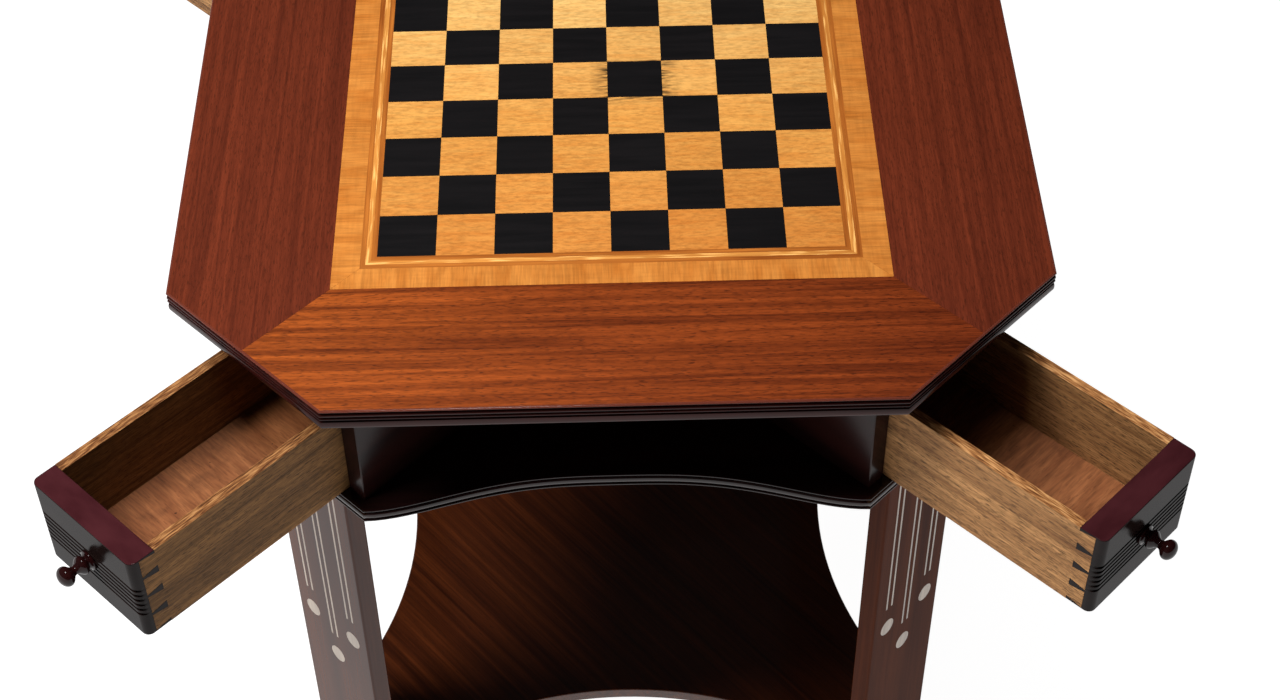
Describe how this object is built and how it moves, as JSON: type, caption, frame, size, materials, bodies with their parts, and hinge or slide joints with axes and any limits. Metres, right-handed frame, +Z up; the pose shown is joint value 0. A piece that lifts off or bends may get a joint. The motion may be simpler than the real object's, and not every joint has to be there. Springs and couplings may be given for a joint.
{
  "type": "gaming table",
  "caption": "Square games table with canted corners, inlaid chessboard top, diagonal drawers at the corners, serpentine deck, panel legs and a concave-sided undertier.",
  "frame": {"origin": "on the floor under the centre of the table", "axes": "+Z up through the middle of the chessboard; -Y is the front; the drawers run out on the diagonals"},
  "size_m": [0.7776, 0.7776, 0.71],
  "materials": {
    "moulded_edge": "French-polished dark mahogany edge, glossy",
    "field_mahogany": "French-polished mahogany veneer, satin gloss",
    "satinwood": "polished satinwood crossbanding with ripple figure",
    "amber_string": "polished amber-stained string",
    "holly_string": "polished pale string",
    "maple_squares": "polished pale maple squares",
    "ebonised_squares": "polished ebonised squares",
    "deck_gloss": "near-black polished mahogany, glossy",
    "dark_gloss": "dark polished mahogany, glossy",
    "front_gloss": "dark red-brown polished mahogany, glossy",
    "leg_gloss": "dark red-brown polished mahogany, glossy",
    "leg_inlay_holly": "pale boxwood inlay under polish",
    "undertier_mahogany": "polished dark mahogany",
    "drawer_oak": "unpolished oak-like drawer lining",
    "drawer_bottom_wood": "unpolished mahogany drawer bottom",
    "raw_mahogany": "unpolished mahogany",
    "knob_gloss": "turned and polished dark mahogany",
    "screw_brass": "plain brass"
  },
  "bodies": {
    "table": {"top_board": "moulded_edge", "satinwood_border": "satinwood", "amber_strings": "amber_string", "light_string": "holly_string", "light_squares": "maple_squares", "dark_squares": "ebonised_squares", "deck": "deck_gloss", "kickers": "raw_mahogany", "frame_screws": "screw_brass", "undertier": "undertier_mahogany", "mahogany_front": "field_mahogany", "mahogany_right": "field_mahogany", "mahogany_back": "field_mahogany", "mahogany_left": "field_mahogany", "partition_a1": "dark_gloss", "partition_a2": "dark_gloss", "partition_b1": "dark_gloss", "partition_b2": "dark_gloss", "leg_fl": "leg_gloss", "leg_fr": "leg_gloss", "leg_br": "leg_gloss", "leg_bl": "leg_gloss", "leg_inlay_fl": "leg_inlay_holly", "leg_inlay_fr": "leg_inlay_holly", "leg_inlay_br": "leg_inlay_holly", "leg_inlay_bl": "leg_inlay_holly", "drawer_rail_fl": "dark_gloss", "drawer_rail_fr": "dark_gloss", "drawer_rail_br": "dark_gloss", "drawer_rail_bl": "dark_gloss"},
    "drawer_fl": {"drawer_front_fl": "front_gloss", "drawer_side_a_fl": "drawer_oak", "drawer_side_b_fl": "drawer_oak", "drawer_back_fl": "drawer_oak", "drawer_bottom_fl": "drawer_bottom_wood", "drawer_knob_fl": "knob_gloss"},
    "drawer_fr": {"drawer_front_fr": "front_gloss", "drawer_side_a_fr": "drawer_oak", "drawer_side_b_fr": "drawer_oak", "drawer_back_fr": "drawer_oak", "drawer_bottom_fr": "drawer_bottom_wood", "drawer_knob_fr": "knob_gloss"},
    "drawer_br": {"drawer_front_br": "front_gloss", "drawer_side_a_br": "drawer_oak", "drawer_side_b_br": "drawer_oak", "drawer_back_br": "drawer_oak", "drawer_bottom_br": "drawer_bottom_wood", "drawer_knob_br": "knob_gloss"},
    "drawer_bl": {"drawer_front_bl": "front_gloss", "drawer_side_a_bl": "drawer_oak", "drawer_side_b_bl": "drawer_oak", "drawer_back_bl": "drawer_oak", "drawer_bottom_bl": "drawer_bottom_wood", "drawer_knob_bl": "knob_gloss"}
  },
  "joints": [
    {"name": "drawer_fl_slide", "type": "slide", "parent": "table", "child": "drawer_fl", "axis": [-0.7071, -0.7071, 0], "range_m": [-0.178, 0.03]},
    {"name": "drawer_fr_slide", "type": "slide", "parent": "table", "child": "drawer_fr", "axis": [0.7071, -0.7071, 0], "range_m": [-0.178, 0.03]},
    {"name": "drawer_br_slide", "type": "slide", "parent": "table", "child": "drawer_br", "axis": [0.7071, 0.7071, 0], "range_m": [-0.178, 0.03]},
    {"name": "drawer_bl_slide", "type": "slide", "parent": "table", "child": "drawer_bl", "axis": [-0.7071, 0.7071, 0], "range_m": [-0.178, 0.03]}
  ]
}
